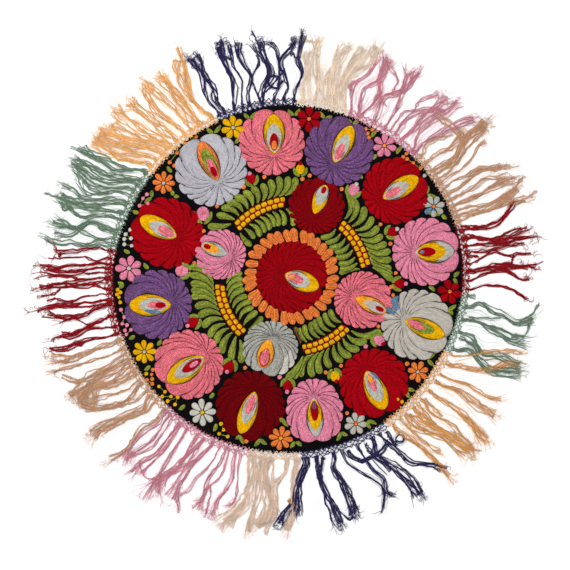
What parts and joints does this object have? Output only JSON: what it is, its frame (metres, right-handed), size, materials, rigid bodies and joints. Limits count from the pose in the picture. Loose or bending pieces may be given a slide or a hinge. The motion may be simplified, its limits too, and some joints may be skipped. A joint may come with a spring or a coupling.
{
  "type": "round embroidered tablecloth with knotted fringe",
  "caption": "Round flat cloth covered in raised floral embroidery, with a net heading and loose silk locks all round its rim; lies over a small table or chest.",
  "frame": {"origin": "centre of the cloth's round ground, on its underside", "axes": "+Z out of the embroidered face; +Y towards the picture's top, +X towards its right"},
  "size_m": [0.7761, 0.7713, 0.002],
  "materials": {
    "black_wool": "matte woven wool, almost black, embroidered in silk",
    "navy_silk": "loose floss silk, soft sheen",
    "orange_silk": "loose floss silk, soft sheen",
    "sage_silk": "loose floss silk, soft sheen",
    "red_silk": "loose floss silk, soft sheen",
    "tan_silk": "loose floss silk, soft sheen",
    "pink_silk": "loose floss silk, soft sheen",
    "cream_silk": "loose floss silk, soft sheen"
  },
  "bodies": {
    "root": {"cloth": "black_wool", "fringe_red_east": "red_silk", "fringe_tan_northeast": "tan_silk", "fringe_pink_northeast": "pink_silk", "fringe_cream_north": "cream_silk", "fringe_navy_north": "navy_silk", "fringe_orange_northwest": "orange_silk", "fringe_sage_northwest": "sage_silk", "fringe_red_west": "red_silk", "fringe_tan_west": "tan_silk", "fringe_pink_southwest": "pink_silk", "fringe_cream_south": "cream_silk", "fringe_navy_south": "navy_silk", "fringe_orange_southeast": "orange_silk", "fringe_sage_east": "sage_silk"}
  },
  "joints": []
}
